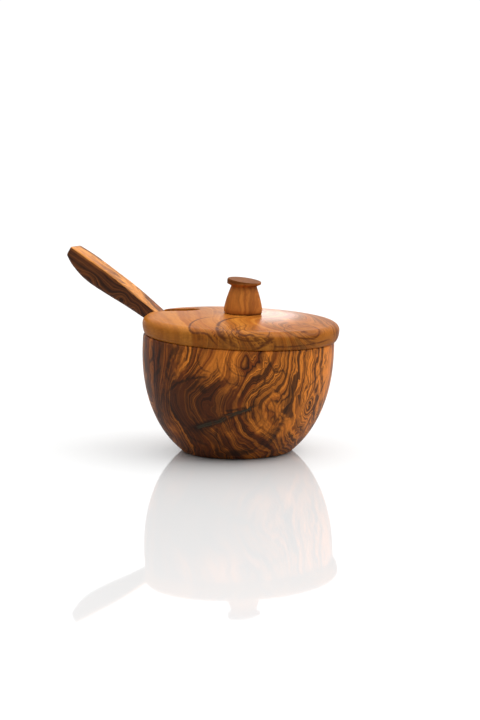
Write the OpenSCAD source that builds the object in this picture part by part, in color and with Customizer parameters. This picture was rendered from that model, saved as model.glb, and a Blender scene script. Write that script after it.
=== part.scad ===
// Turned olive-wood sugar bowl with a slotted lid, a glued knob and a carved spoon.
// Millimetres, +Z up. The origin is where the turning axis meets the flat base, and the
// spoon handle leaves the bowl toward -X. The turned pieces share one axis that leans
// toward +X, because the base was sanded flat by hand, slightly out of square.

/* [Bowl] */
// Widest diameter of the bowl
bowl_d = 100; // [88:1:124]
// Height of the rim above the base, along the turning axis
bowl_h = 60; // [50:1:76]
// Distance from the rim down to the widest point
belly_drop = 6; // [2:0.5:14]
// Diameter of the foot where the outside meets the base
foot_d = 57; // [44:1:70]
// Fullness of the outside curve, 2 is an ellipse
belly_power = 2.2; // [1.9:0.05:2.8]
// Thickness of the rim
rim_t = 5.4; // [4.5:0.1:8]
// Rounding of the rim's outer edge
rim_outer_round = 1.2; // [0.4:0.1:1.8]
// Rounding of the rim's inner edge, where the spoon lies
rim_inner_round = 2; // [1:0.1:2.4]
// Depth of the straight part of the mouth
mouth_h = 8; // [5:0.5:14]
// Thickness of the floor on the axis
floor_t = 8; // [5:0.5:14]
// Fullness of the inside curve
hollow_power = 2.4; // [2:0.05:3]
// Lean of the turning axis toward +X, in degrees
lean = 2.6; // [0:0.1:4]

/* [Lid] */
// How far the lid's edge stands out past the bowl's widest point
lid_over = 1.3; // [0:0.1:4]
// How far the underside is smaller in radius than the lid's edge
lid_undercut = 2.3; // [1:0.1:5]
// Height of the lid's widest point above its underside
lid_belly_h = 5.8; // [3:0.1:8]
// Height where the rounded edge ends and the dome starts
lid_edge_h = 9.5; // [8:0.1:13]
// Height of the dome on the lid's axis
lid_mid_h = 12.2; // [10:0.1:18]
// Width of the upper edge's rounding
lid_round = 4.5; // [2:0.1:8]
// Depth of the spigot that goes into the mouth
spigot_h = 4; // [2:0.5:7]
// Clearance all round between the spigot and the mouth
spigot_play = 1.3; // [0.5:0.1:2]
// Chamfer on the spigot's lower edge
spigot_chamfer = 0.8; // [0.2:0.1:1.5]
// How far the lid has slid toward +X in its clearance
lid_slid = 1; // [0:0.1:1.6]
// Depth of the shallow dish under the lid
dish_h = 3.5; // [0.5:0.1:4.5]
// Width of the ring that the dish leaves on the spigot
dish_ring = 5; // [3:0.5:12]
// Clearance between the spoon handle and each side of the notch
notch_play = 0.7; // [0.4:0.1:2]
// Clearance between the spoon handle and the notch's inner end
notch_end_play = 1.2; // [0.4:0.1:3]

/* [Knob] */
// Diameter of the knob's foot
knob_foot_d = 19.4; // [15:0.1:26]
// Diameter of the bulge just above the foot
knob_bulge_d = 20; // [15:0.1:28]
// Height of the bulge above the lid
knob_bulge_h = 2.8; // [1:0.1:5]
// Diameter of the neck
knob_neck_d = 13.4; // [10:0.1:18]
// Height of the neck above the lid
knob_neck_h = 14.2; // [12:0.1:19]
// Diameter of the cap
knob_cap_d = 17.8; // [14:0.1:24]
// Height of the cap's lower edge above the neck
knob_cap_rise = 1.3; // [0.8:0.1:3]
// Height of the upright band round the cap, where the slant leaves all of it
knob_band_h = 1.8; // [0.4:0.1:3]
// Height of the cap's top above the neck, on the knob's axis
knob_top_rise = 3.3; // [3:0.1:7]
// Slant of the cap's top, low toward +X, in degrees
knob_slant = 6.5; // [0:0.5:9]
// Rounding of the cap's upper edge
cap_round = 1.2; // [0.5:0.1:3]
// How far the knob sits off the lid's centre
knob_off = 0.8; // [0:0.1:2]
// Diameter of the dowel
dowel_d = 6; // [4:0.1:8]
// How deep the dowel goes into the lid
dowel_in_lid = 6; // [3:0.5:8]
// How deep the dowel goes into the knob
dowel_in_knob = 9; // [5:0.5:12]
// Room left past each end of the dowel for glue
glue_room = 0.6; // [0.2:0.1:1.5]

/* [Spoon] */
// Slope of the handle, in degrees below level
spoon_angle = 32.5; // [29:0.5:36]
// Length of the handle outside the rim's inner edge
handle_out = 66.5; // [50:0.5:90]
// Width of the handle
handle_w = 12; // [9:0.1:15]
// Depth of the handle at its outer end
end_depth = 6; // [4:0.1:9]
// How much each side narrows to the blunt outer end
end_taper = 0.8; // [0:0.1:2]
// How far the outer end stands out past its corners
end_bow = 0.6; // [0:0.1:1.5]
// Depth of the handle where it is thickest
swell_depth = 11.7; // [9:0.1:14]
// How far the handle's upper face rises from the rim to its thickest place
swell_rise = 1.6; // [0:0.1:3]
// Depth of the handle where it crosses the rim
rim_depth = 6.8; // [6:0.1:10]
// How far the upper face drops from its thickest place to the outer end
end_drop = 1; // [0.5:0.1:4]
// How far the upper face drops from the rim to the neck
neck_drop = 0.4; // [0:0.1:1.5]
// Distance from the rim to where the neck is thinnest
neck_x = 28; // [20:0.5:36]
// Depth of the neck next to the scoop
neck_depth = 5.4; // [4:0.1:8]
// Width of the neck
neck_w = 7.5; // [6:0.1:10]
// How far the neck runs into the scoop
neck_in_scoop = 5; // [3:0.5:8]
// Length of the scoop
scoop_len = 40; // [30:0.5:48]
// Width of the scoop
scoop_w = 30; // [24:0.5:38]
// Depth of the scoop
scoop_depth = 11.5; // [8:0.5:15]
// Thickness of the scoop's wall
scoop_t = 2.4; // [1.6:0.1:4]
// Gap between the spoon and the bowl where it rests
rest_gap = 0.3; // [0.2:0.05:0.6]

/* [Hidden] */
$fn = 96;

// Colours of oiled olive wood
bowl_wood = [0.55, 0.30, 0.13];
lid_wood = [0.76, 0.47, 0.21];
knob_wood = [0.72, 0.43, 0.19];
spoon_wood = [0.62, 0.36, 0.16];
dowel_wood = [0.85, 0.70, 0.50];

// Bowl
bowl_r = bowl_d / 2;
foot_r = foot_d / 2;
belly_z = bowl_h - belly_drop;
belly_fall = belly_z / pow(1 - pow(foot_r / bowl_r, belly_power), 1 / belly_power);
foot_sunk = foot_r * tan(lean) + 0.6;
rim_r = outside_r(bowl_h);
mouth_r = rim_r - rim_t;
hollow_top = bowl_h - mouth_h;

// Lid
lid_r = bowl_r + lid_over;
spigot_r = mouth_r - spigot_play;
dish_r = spigot_r - dish_ring;
seat_r = knob_off + knob_foot_d / 2; // flat seat for the knob on top of the dome

// Spoon, in its own frame: x runs down the handle toward the scoop, z is square to it
// and the origin is the point of the rounded rim edge that the handle lies on.
// The spoon's slope is measured from the plane of the rim there.
tilt = spoon_angle - lean;
rim_edge_x = -mouth_r - rim_inner_round + rim_inner_round * sin(tilt);
rim_edge_z = bowl_h - rim_inner_round + rim_inner_round * cos(tilt);
under_rim = 1.6 * rest_gap; // its underside isn't quite square to the rim's rounding
top_rim = under_rim + rim_depth;
top_swell = top_rim + swell_rise;
top_end = top_swell - end_drop;
top_neck = top_rim - neck_drop;
scoop_top = top_neck - 0.2;
scoop_x = scoop_reach(0, 2 * bowl_r, 24);
notch_w = handle_w + 2 * notch_play;

// The notch ends where the handle's upper face passes the lid's lowest face
notch_pass = (rim_edge_z + top_neck * cos(tilt) - (bowl_h - spigot_h)) / sin(tilt);
notch_end = rim_edge_x + notch_pass * cos(tilt) + top_neck * sin(tilt) + notch_end_play - lid_slid;

// Radius of the bowl's outside at a height on the axis
function outside_r(z) =
    bowl_r * pow(1 - pow(abs(belly_z - z) / belly_fall, belly_power), 1 / belly_power);

// Radius of the bowl's inside at a height on the axis
function inside_r(z) =
    z >= hollow_top ? mouth_r
    : z <= floor_t ? 0
    : mouth_r * pow(1 - pow((hollow_top - z) / (hollow_top - floor_t), hollow_power), 1 / hollow_power);

// Points of an elliptical arc from one angle to another
function arc(centre, rx, rz, from, to, steps = 8) =
    [for (i = [0:steps])
        let (a = from + (to - from) * i / steps)
        centre + [rx * cos(a), rz * sin(a)]];

// A smooth curve through a list of points, with the ends kept
function smooth(p, steps = 5) =
    let (last = len(p) - 1)
    [for (i = [0:last - 1], j = [0:steps - 1])
        let (a = p[max(i - 1, 0)], b = p[i], c = p[i + 1], d = p[min(i + 2, last)], t = j / steps)
        0.5 * (2 * b + (c - a) * t + (2 * a - 5 * b + 4 * c - d) * pow(t, 2)
               + (3 * b - a - 3 * c + d) * pow(t, 3)),
     p[last]];

function reversed(p) = [for (i = [len(p) - 1:-1:0]) p[i]];

function flipped(p) = [for (i = [len(p) - 1:-1:0]) [p[i][0], -p[i][1]]];

// Whether the scoop, centred at distance x down the handle, is clear of the bowl's inside
function scoop_clear(x) =
    min([for (a = [0:6:90], b = [0:15:90])
        let (u = x + scoop_len / 2 * cos(a) * cos(b),
             v = scoop_w / 2 * cos(a) * sin(b),
             w = scoop_top - scoop_depth * sin(a),
             px = rim_edge_x + u * cos(tilt) + w * sin(tilt),
             pz = rim_edge_z - u * sin(tilt) + w * cos(tilt))
        inside_r(pz - rest_gap) - rest_gap - norm([px, v])]) > 0;

// The furthest that the scoop goes down before it meets the bowl, found by halving
function scoop_reach(near, far, tries) =
    let (mid = (near + far) / 2)
    tries == 0 ? near
    : scoop_clear(mid) ? scoop_reach(mid, far, tries - 1)
    : scoop_reach(near, mid, tries - 1);

// Puts what is drawn on the turning axis, z up from the base, into the leaning frame
module turned() {
    rotate([0, lean, 0]) children();
}

module lid_place() {
    turned() translate([lid_slid, 0, bowl_h]) children();
}

module knob_place() {
    lid_place() translate([knob_off, 0, lid_mid_h]) children();
}

module spoon_place() {
    turned() translate([rim_edge_x, 0, rim_edge_z]) rotate([0, tilt, 0]) children();
}

module bowl() {
    outer_side = [for (i = [0:26])
        let (z = -foot_sunk + (bowl_h - rim_outer_round + foot_sunk) * i / 26) [outside_r(z), z]];
    outer_edge = arc([rim_r - rim_outer_round, bowl_h - rim_outer_round],
                     rim_outer_round, rim_outer_round, 15, 90, 5);
    inner_edge = arc([mouth_r + rim_inner_round, bowl_h - rim_inner_round],
                     rim_inner_round, rim_inner_round, 90, 180, 6);
    hollow = [for (i = [0:24])
        let (a = 90 * i / 24)
        [mouth_r * pow(cos(a), 2 / hollow_power),
         hollow_top - (hollow_top - floor_t) * pow(sin(a), 2 / hollow_power)]];
    color(bowl_wood)
    difference() {
        turned()
        rotate_extrude()
            polygon(concat([[0, -foot_sunk]], outer_side, outer_edge, inner_edge, hollow));
        translate([-bowl_d, -bowl_d, -bowl_d]) cube([2 * bowl_d, 2 * bowl_d, bowl_d]);
    }
}

module lid() {
    under = arc([lid_r - lid_undercut, lid_belly_h], lid_undercut, lid_belly_h, -90, 0, 8);
    upper = arc([lid_r - lid_round, lid_belly_h], lid_round, lid_edge_h - lid_belly_h, 12, 90, 7);
    dome_r = lid_r - lid_round;
    dome = [for (i = [1:12]) let (r = dome_r + (seat_r - dome_r) * i / 12)
        [r, lid_mid_h - (lid_mid_h - lid_edge_h) * pow((r - seat_r) / (dome_r - seat_r), 2)]];
    dish = [for (i = [0:8]) let (r = dish_r * i / 8)
        [r, -spigot_h + dish_h * (1 - pow(r / dish_r, 2))]];
    color(lid_wood)
    lid_place()
    difference() {
        rotate_extrude()
            polygon(concat(dish, [[spigot_r - spigot_chamfer, -spigot_h], [spigot_r, -spigot_h + spigot_chamfer],
                                  [spigot_r, 0]], under, upper, dome, [[0, lid_mid_h]]));
        notch();
        translate([knob_off, 0, lid_mid_h - dowel_in_lid - glue_room])
            cylinder(d = dowel_d, h = dowel_in_lid + glue_room + 1);
    }
}

// The spoon's notch: a drilled round end, sawn open to the lid's edge
module notch() {
    tall = lid_mid_h + spigot_h + 2;
    translate([notch_end - notch_w / 2, 0, -spigot_h - 1]) {
        cylinder(d = notch_w, h = tall);
        translate([-lid_r, -notch_w / 2, 0]) cube([lid_r, notch_w, tall]);
    }
}

module knob() {
    neck_r = knob_neck_d / 2;
    cap_r = knob_cap_d / 2;
    side = smooth([[knob_foot_d / 2, 0], [knob_bulge_d / 2, knob_bulge_h],
                   [(knob_bulge_d + knob_neck_d) / 4 + 0.3, (knob_bulge_h + knob_neck_h) / 2],
                   [neck_r, knob_neck_h]], 6);
    cap_z = knob_neck_h + knob_cap_rise;
    cap_top = knob_neck_h + knob_top_rise;
    slant_rise = cap_r * tan(knob_slant);
    band_z = cap_z + knob_band_h;
    cap = smooth([[neck_r + 0.1, knob_neck_h + 0.2], [neck_r + 0.8, knob_neck_h + knob_cap_rise * 0.5],
                  [cap_r - 0.2, cap_z - 0.1]], 5);
    cap_edge = arc([cap_r - cap_round, band_z], cap_round, cap_top + slant_rise - band_z, 0, 90, 4);
    color(knob_wood)
    knob_place()
    difference() {
        rotate_extrude()
            polygon(concat([[0, 0]], side, cap, [[cap_r, cap_z + 0.1]], cap_edge, [[0, cap_edge[4][1]]]));
        translate([0, 0, cap_top]) rotate([0, knob_slant, 0])
            translate([-bowl_r, -bowl_r, 0]) cube([bowl_d, bowl_d, bowl_r]);
        translate([0, 0, -1]) cylinder(d = dowel_d, h = dowel_in_knob + glue_room + 1);
    }
}

module knob_dowel() {
    color(dowel_wood)
    knob_place()
    translate([0, 0, -dowel_in_lid])
        cylinder(d = dowel_d, h = dowel_in_lid + dowel_in_knob);
}

module spoon() {
    half = handle_w / 2;
    join_x = scoop_x - scoop_len / 2 + neck_in_scoop;
    top = smooth([[-handle_out, top_end], [-0.8 * handle_out, top_swell - 0.1],
                  [-0.45 * handle_out, top_swell], [0, top_rim], [neck_x, top_neck],
                  [join_x, scoop_top]]);
    under = smooth([[-handle_out, top_end - end_depth], [-0.89 * handle_out, top_swell - swell_depth + 1.6],
                    [-0.7 * handle_out, top_swell - swell_depth],
                    [-0.3 * handle_out, under_rim - 1], [0, under_rim], [neck_x, top_neck - neck_depth],
                    [join_x, top_neck - neck_depth]]);
    plan = smooth([[-handle_out + end_bow, half - end_taper], [-0.93 * handle_out, half],
                   [-0.25 * handle_out, half], [0, half - 0.5], [neck_x, neck_w / 2 + 0.3],
                   [join_x - 4, neck_w / 2], [join_x, neck_w / 2 + 1]]); // flares into the scoop
    color(spoon_wood)
    spoon_place()
    difference() {
        union() {
            intersection() {
                rotate([90, 0, 0]) translate([0, 0, -handle_w])
                    linear_extrude(2 * handle_w) polygon(concat(top, reversed(under)));
                translate([0, 0, -swell_depth])
                    linear_extrude(3 * swell_depth)
                    polygon(concat([[-handle_out - 1, 0]], plan, flipped(plan)));
            }
            translate([scoop_x, 0, scoop_top]) intersection() {
                scale([scoop_len / scoop_w, 1, 2 * scoop_depth / scoop_w]) sphere(d = scoop_w);
                translate([-scoop_len, -scoop_w, -2 * scoop_depth])
                    cube([2 * scoop_len, 2 * scoop_w, 2 * scoop_depth]);
            }
        }
        translate([scoop_x, 0, scoop_top + 0.01])
            scale([(scoop_len - 2 * scoop_t) / (scoop_w - 2 * scoop_t), 1,
                   2 * (scoop_depth - scoop_t) / (scoop_w - 2 * scoop_t)])
            sphere(d = scoop_w - 2 * scoop_t);
    }
}

bowl();
lid();
knob();
knob_dowel();
spoon();
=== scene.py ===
"""A turned olive-wood sugar bowl with its slotted lid, slant-cut knob and carved spoon.

Each turned piece is a profile swept round its axis by one Geometry Nodes tree, the lid's
slot and the spoon are lofted, and every piece has its own olive-wood material.
"""

import math

import bmesh
import bpy
import numpy as np
from mathutils import Matrix, Vector


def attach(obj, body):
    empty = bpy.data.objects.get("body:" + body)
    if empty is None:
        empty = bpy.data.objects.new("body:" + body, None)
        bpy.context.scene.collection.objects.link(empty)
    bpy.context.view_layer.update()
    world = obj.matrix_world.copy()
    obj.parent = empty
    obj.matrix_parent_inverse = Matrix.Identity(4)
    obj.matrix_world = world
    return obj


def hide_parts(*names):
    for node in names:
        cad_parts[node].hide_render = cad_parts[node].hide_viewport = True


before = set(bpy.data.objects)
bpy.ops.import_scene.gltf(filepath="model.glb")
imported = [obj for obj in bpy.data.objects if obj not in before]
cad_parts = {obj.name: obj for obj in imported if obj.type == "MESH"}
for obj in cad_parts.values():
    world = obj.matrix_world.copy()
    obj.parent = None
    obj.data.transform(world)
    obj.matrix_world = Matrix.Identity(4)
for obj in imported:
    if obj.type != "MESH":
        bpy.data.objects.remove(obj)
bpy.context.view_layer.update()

MM = 0.001

# Sizes in millimetres, the same as the part's own
BOWL_R = 50
BOWL_H = 60
BELLY_Z = 54
FOOT_R = 28.5
FULLNESS = 2.2
RIM_T = 5.4
RIM_OUTER_ROUND = 1.2
RIM_INNER_ROUND = 2
HOLLOW_TOP = 52
FLOOR_T = 8
HOLLOW_FULLNESS = 2.4
LEAN = math.radians(2.6)
BELLY_FALL = BELLY_Z / (1 - (FOOT_R / BOWL_R) ** FULLNESS) ** (1 / FULLNESS)

LID_R = 51.3
LID_UNDERCUT = 2.3
LID_BELLY_H = 5.8
LID_EDGE_H = 9.5
LID_MID_H = 12.2
LID_ROUND = 4.5
LID_SLID = 1
SPIGOT_H = 4
SPIGOT_PLAY = 1.3
DISH_H = 3.5
DISH_RING = 5
NOTCH_HALF = 6.7
NOTCH_END_PLAY = 1.2

KNOB_OFF = 0.8
KNOB_SLANT = math.radians(6.5)
KNOB_CAP_TOP = 17.5

SPOON_TILT = math.radians(32.5) - LEAN
HANDLE_OUT = 66.5
HANDLE_HALF = 6
HANDLE_T = 6.8
NECK_X = 28
NECK_HALF = 3.75
NECK_T = 5.4
SCOOP_LEN = 40
SCOOP_W = 30
SCOOP_DEPTH = 11.5
SCOOP_T = 2.4
REST_GAP = 0.3

# Flat maps that the drawn grain lines are placed on, in millimetres
BOWL_MAP_R = 46
LINE_REACH = 3.0
OFF_THE_MAP = 500


def outside_r(z):
    """Radius of the bowl's outside at a height on the turning axis."""
    return BOWL_R * (1 - (abs(BELLY_Z - z) / BELLY_FALL) ** FULLNESS) ** (1 / FULLNESS)


RIM_R = outside_r(BOWL_H)
MOUTH_R = RIM_R - RIM_T
SPIGOT_R = MOUTH_R - SPIGOT_PLAY
SEAT_R = KNOB_OFF + 9.7


def inside_r(z):
    """Radius of the bowl's inside at a height on the turning axis."""
    if z >= HOLLOW_TOP:
        return MOUTH_R
    if z <= FLOOR_T:
        return 0
    fall = (HOLLOW_TOP - z) / (HOLLOW_TOP - FLOOR_T)
    return MOUTH_R * (1 - fall**HOLLOW_FULLNESS) ** (1 / HOLLOW_FULLNESS)


def smooth(points, steps):
    """A smooth curve through a list of places, with the ends kept."""
    p = [np.array(q, float) for q in points]
    last = len(p) - 1
    out = []
    for i in range(last):
        a, b, c, d = p[max(i - 1, 0)], p[i], p[i + 1], p[min(i + 2, last)]
        for j in range(steps):
            t = j / steps
            square = (2 * a - 5 * b + 4 * c - d) * t**2
            cube = (3 * b - a - 3 * c + d) * t**3
            out.append(0.5 * (2 * b + (c - a) * t + square + cube))
    return out + [p[last]]


def arc(centre, rx, rz, start, end, steps):
    """Places along an elliptical arc, angles in degrees."""
    out = []
    for i in range(steps + 1):
        a = math.radians(start + (end - start) * i / steps)
        out.append((centre[0] + rx * math.cos(a), centre[1] + rz * math.sin(a)))
    return out


def spread(points, gap):
    """The same outline with places no further apart than a gap."""
    out = [points[0]]
    for a, b in zip(points, points[1:]):
        n = max(1, math.ceil(math.dist(a, b) / gap))
        for i in range(1, n + 1):
            out.append((a[0] + (b[0] - a[0]) * i / n, a[1] + (b[1] - a[1]) * i / n))
    return out


# ---------------------------------------------------------------- node helpers


def put(tree, kind, values=None, **settings):
    """Adds a node, sets its settings, then fills or links its inputs."""
    node = tree.nodes.new(kind)
    for name, value in settings.items():
        setattr(node, name, value)
    for key, value in (values or {}).items():
        if isinstance(value, bpy.types.NodeSocket):
            tree.links.new(value, node.inputs[key])
        else:
            node.inputs[key].default_value = value
    return node


def maths(tree, operation, *values, clamp=False):
    """One Math node's output."""
    inputs = dict(enumerate(values))
    return put(tree, "ShaderNodeMath", inputs, operation=operation, use_clamp=clamp).outputs[0]


def plus(tree, a, b, clamp=False):
    """The sum of two values."""
    return maths(tree, "ADD", a, b, clamp=clamp)


def minus(tree, a, b):
    """The first value less the second."""
    return maths(tree, "SUBTRACT", a, b)


def times(tree, a, b, clamp=False):
    """The product of two values."""
    return maths(tree, "MULTIPLY", a, b, clamp=clamp)


def highest(tree, first, *others):
    """The highest of several values."""
    for value in others:
        first = maths(tree, "MAXIMUM", first, value)
    return first


def vector_maths(tree, operation, *values):
    """One Vector Math node, whose output is a vector, or a length."""
    node = put(tree, "ShaderNodeVectorMath", dict(enumerate(values)), operation=operation)
    return node.outputs["Value" if operation in ("LENGTH", "DISTANCE", "DOT_PRODUCT") else "Vector"]


def fade(tree, value, start, end):
    """0 before start and 1 after end, with a soft change between."""
    values = {"Value": value, "From Min": start, "From Max": end}
    node = put(tree, "ShaderNodeMapRange", values, interpolation_type="SMOOTHSTEP")
    return node.outputs["Result"]


def noise(tree, place, scale, detail, **more):
    """A noise's value at a place, near 0.5 on average."""
    values = {"Vector": place, "Scale": scale, "Detail": detail, **more}
    return put(tree, "ShaderNodeTexNoise", values).outputs[0]


def swing(tree, value, amount):
    """A noise's swing to either side of its middle, times an amount."""
    return times(tree, minus(tree, value, 0.5), amount)


def mark(tree, name):
    """A number that the mesh keeps at each vertex."""
    return put(tree, "ShaderNodeAttribute", attribute_name=name).outputs["Fac"]


def mix_colour(tree, factor, a, b, blend="MIX"):
    """A blend of two colours."""
    node = put(tree, "ShaderNodeMix", data_type="RGBA", blend_type=blend, clamp_factor=True)
    for socket, value in (
        (node.inputs["Factor"], factor),
        (node.inputs[6], a),
        (node.inputs[7], b),
    ):
        if isinstance(value, bpy.types.NodeSocket):
            tree.links.new(value, socket)
        else:
            socket.default_value = value
    return node.outputs[2]


def new_group(name, kind, inputs, outputs):
    """An empty node group with named inputs (name, type, value) and outputs."""
    tree = bpy.data.node_groups.new(name, kind)
    for label, socket, value in inputs:
        made = tree.interface.new_socket(label, in_out="INPUT", socket_type="NodeSocket" + socket)
        if value is not None:
            made.default_value = value
    for label, socket in outputs:
        tree.interface.new_socket(label, in_out="OUTPUT", socket_type="NodeSocket" + socket)
    return tree, tree.nodes.new("NodeGroupInput").outputs


def close_group(tree, **results):
    """Links the results to the group's outputs."""
    end = tree.nodes.new("NodeGroupOutput")
    for name, socket in results.items():
        tree.links.new(socket, end.inputs[name.replace("_", " ")])


# ---------------------------------------------------------------- turning tree


def turning_tree():
    """Sweeps a profile round the axis, as a lathe does, with a hand's unevenness."""
    tree, given = new_group(
        "turning",
        "GeometryNodeTree",
        [
            ("Profile", "Geometry", None),
            ("Steps Round", "Int", 320),
            ("Unevenness", "Float", 0.0),
            ("Uneven Size", "Float", 0.02),
            ("Seed", "Int", 3),
            ("Slant", "Float", 0.0),
            ("Slant Height", "Float", 1.0),
            ("Slant Softness", "Float", 0.0002),
            ("Wood", "Material", None),
        ],
        [("Turned", "Geometry")],
    )
    rows = put(tree, "GeometryNodeAttributeDomainSize", {"Geometry": given["Profile"]})
    round_steps = plus(tree, given["Steps Round"], 1)
    counts = {"Vertices X": rows.outputs["Point Count"], "Vertices Y": round_steps}
    grid = put(tree, "GeometryNodeMeshGrid", {"Size X": 1, "Size Y": 1, **counts})
    index = put(tree, "GeometryNodeInputIndex").outputs[0]
    row = maths(tree, "FLOOR", maths(tree, "DIVIDE", plus(tree, index, 0.5), round_steps))
    column = minus(tree, index, times(tree, row, round_steps))
    angle = times(tree, maths(tree, "DIVIDE", column, given["Steps Round"]), 2 * math.pi)
    sample = put(
        tree,
        "GeometryNodeSampleIndex",
        {
            "Geometry": given["Profile"],
            "Value": put(tree, "GeometryNodeInputPosition").outputs[0],
            "Index": row,
        },
        data_type="FLOAT_VECTOR",
        domain="POINT",
    )
    place = put(tree, "ShaderNodeSeparateXYZ", {0: sample.outputs[0]}).outputs
    cos_a = maths(tree, "COSINE", angle)
    sin_a = maths(tree, "SINE", angle)
    round_x = times(tree, place["X"], cos_a)
    round_y = times(tree, place["X"], sin_a)
    true_round = put(tree, "ShaderNodeCombineXYZ", {0: round_x, 1: round_y, 2: place["Z"]}).outputs[0]
    scale = maths(tree, "DIVIDE", 1, given["Uneven Size"])
    values = {"Vector": true_round, "W": given["Seed"], "Scale": scale, "Detail": 1.0}
    uneven = put(tree, "ShaderNodeTexNoise", values, noise_dimensions="4D").outputs[0]
    taken = times(tree, uneven, given["Unevenness"])
    near_axis = fade(tree, place["X"], 0.0, 0.004)
    radius = minus(tree, place["X"], times(tree, taken, near_axis))
    x = times(tree, radius, cos_a)
    y = times(tree, radius, sin_a)
    fall = times(tree, x, maths(tree, "TANGENT", given["Slant"]))
    plane = minus(tree, given["Slant Height"], fall)
    z = maths(tree, "SMOOTH_MIN", place["Z"], plane, given["Slant Softness"])
    position = put(tree, "ShaderNodeCombineXYZ", {0: x, 1: y, 2: z}).outputs[0]
    values = {"Geometry": grid.outputs[0], "Position": position}
    swept = put(tree, "GeometryNodeSetPosition", values).outputs[0]
    values = {"Geometry": swept, "Distance": 2e-6}
    merged = put(tree, "GeometryNodeMergeByDistance", values).outputs[0]
    shaded = put(tree, "GeometryNodeSetShadeSmooth", {"Geometry": merged})
    real = put(tree, "GeometryNodeRealizeInstances", {"Geometry": shaded.outputs[0]})
    values = {"Geometry": real.outputs[0], "Material": given["Wood"]}
    close_group(tree, Turned=put(tree, "GeometryNodeSetMaterial", values).outputs[0])
    return tree


def turn(name, profile, wood, **inputs):
    """A plain mesh of a profile (r, z in mm) turned by the tree, on an upright axis.

    The tree's inputs are named with _ for a space."""
    mesh = bpy.data.meshes.new(name)
    mesh.from_pydata([(r * MM, 0, z * MM) for r, z in profile], [], [])
    source = bpy.data.objects.new(name + "_profile", mesh)
    bpy.context.scene.collection.objects.link(source)
    modifier = source.modifiers.new("turning", "NODES")
    modifier.node_group = TURNING
    wanted = {"Wood": wood, **{key.replace("_", " "): value for key, value in inputs.items()}}
    for item in TURNING.interface.items_tree:
        if item.in_out == "INPUT" and item.name in wanted:
            modifier[item.identifier] = wanted[item.name]
    source.update_tag()
    bpy.context.view_layer.update()
    ready = source.evaluated_get(bpy.context.evaluated_depsgraph_get())
    made = bpy.data.meshes.new_from_object(ready)
    source.modifiers.remove(modifier)
    bpy.data.objects.remove(source)
    made.name = name
    return made


def finish_piece(name, mesh, wood, body, node):
    """Makes the finished object at the origin and ties it to the frame."""
    shell = bmesh.new()
    shell.from_mesh(mesh)
    bmesh.ops.remove_doubles(shell, verts=shell.verts, dist=1e-6)
    bmesh.ops.recalc_face_normals(shell, faces=shell.faces)
    if shell.calc_volume(signed=True) < 0:
        bmesh.ops.reverse_faces(shell, faces=shell.faces)
    shell.to_mesh(mesh)
    shell.free()
    mesh.polygons.foreach_set("use_smooth", [True] * len(mesh.polygons))
    mesh.materials.clear()
    mesh.materials.append(wood)
    mesh.update()
    piece = bpy.data.objects.new(name, mesh)
    bpy.context.scene.collection.objects.link(piece)
    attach(piece, body)
    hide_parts(node)
    return piece


TURNED = Matrix.Rotation(LEAN, 4, "Y")
LID_PLACE = TURNED @ Matrix.Translation((LID_SLID * MM, 0, BOWL_H * MM))
KNOB_PLACE = LID_PLACE @ Matrix.Translation((KNOB_OFF * MM, 0, LID_MID_H * MM))


# ---------------------------------------------------------------- drawn grain lines


def draw_lines(mesh, flat_places, strokes):
    """Keeps each vertex's signed distance to the nearest line, and that line's width and darkness.

    flat_places are the vertices on a flat map in mm. A stroke is a list of places on it,
    its half width in mm and how dark it is."""
    side = np.full(len(flat_places), LINE_REACH)
    width = np.zeros(len(flat_places))
    dark = np.zeros(len(flat_places))
    for places, half_width, darkness in strokes:
        path = np.array(smooth(places, 8))
        steps = len(path) - 1
        for i in range(steps):
            a, b = path[i], path[i + 1]
            run = b - a
            t = np.clip(((flat_places - a) @ run) / (run @ run), 0, 1)
            away = flat_places - a - t[:, None] * run
            distance = np.hypot(away[:, 0], away[:, 1])
            cross = run[0] * away[:, 1] - run[1] * away[:, 0]
            along = (i + t) / steps
            taper = np.clip(np.minimum(along, 1 - along) * 6, 0, 1) ** 0.7
            fading = np.clip((LINE_REACH - 0.1 - distance) / 0.8, 0, 1)
            closer = distance < np.abs(side)
            side = np.where(closer, np.where(cross < 0, -distance, distance), side)
            width = np.where(closer, half_width * (0.35 + 0.65 * taper), width)
            dark = np.where(closer, darkness * taper * fading, dark)
    for name, values in (("line_side", side), ("line_width", width), ("line_dark", dark)):
        keep(mesh, name, values)


def keep(mesh, name, values):
    """Stores one number for each vertex under a name."""
    layer = mesh.attributes.new(name, "FLOAT", "POINT")
    layer.data.foreach_set("value", np.asarray(values, np.float32))


def vertices(mesh):
    """The mesh's vertices in mm."""
    out = np.empty(len(mesh.vertices) * 3, np.float32)
    mesh.vertices.foreach_get("co", out)
    return out.reshape(-1, 3).astype(float) * 1000


def set_vertices(mesh, places):
    """Moves the mesh's vertices to places in mm."""
    mesh.vertices.foreach_set("co", (places * MM).astype(np.float32).ravel())
    mesh.update()


def round_the_axis(places):
    """Angle in degrees, height and radius in mm of places about the leaning axis."""
    x = places[:, 0] * math.cos(LEAN) - places[:, 2] * math.sin(LEAN)
    z = places[:, 0] * math.sin(LEAN) + places[:, 2] * math.cos(LEAN)
    return np.degrees(np.arctan2(places[:, 1], x)), z, np.hypot(x, places[:, 1])


def bowl_map(places):
    """The bowl's outside unrolled: mm round the belly, and height."""
    angle, height, _ = round_the_axis(places)
    return np.column_stack([np.radians(angle) * BOWL_MAP_R, height])


def on_bowl(*places):
    """Places given as angle in degrees and height, on the unrolled map."""
    return [(math.radians(a) * BOWL_MAP_R, h) for a, h in places]


# ---------------------------------------------------------------- bowl


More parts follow.
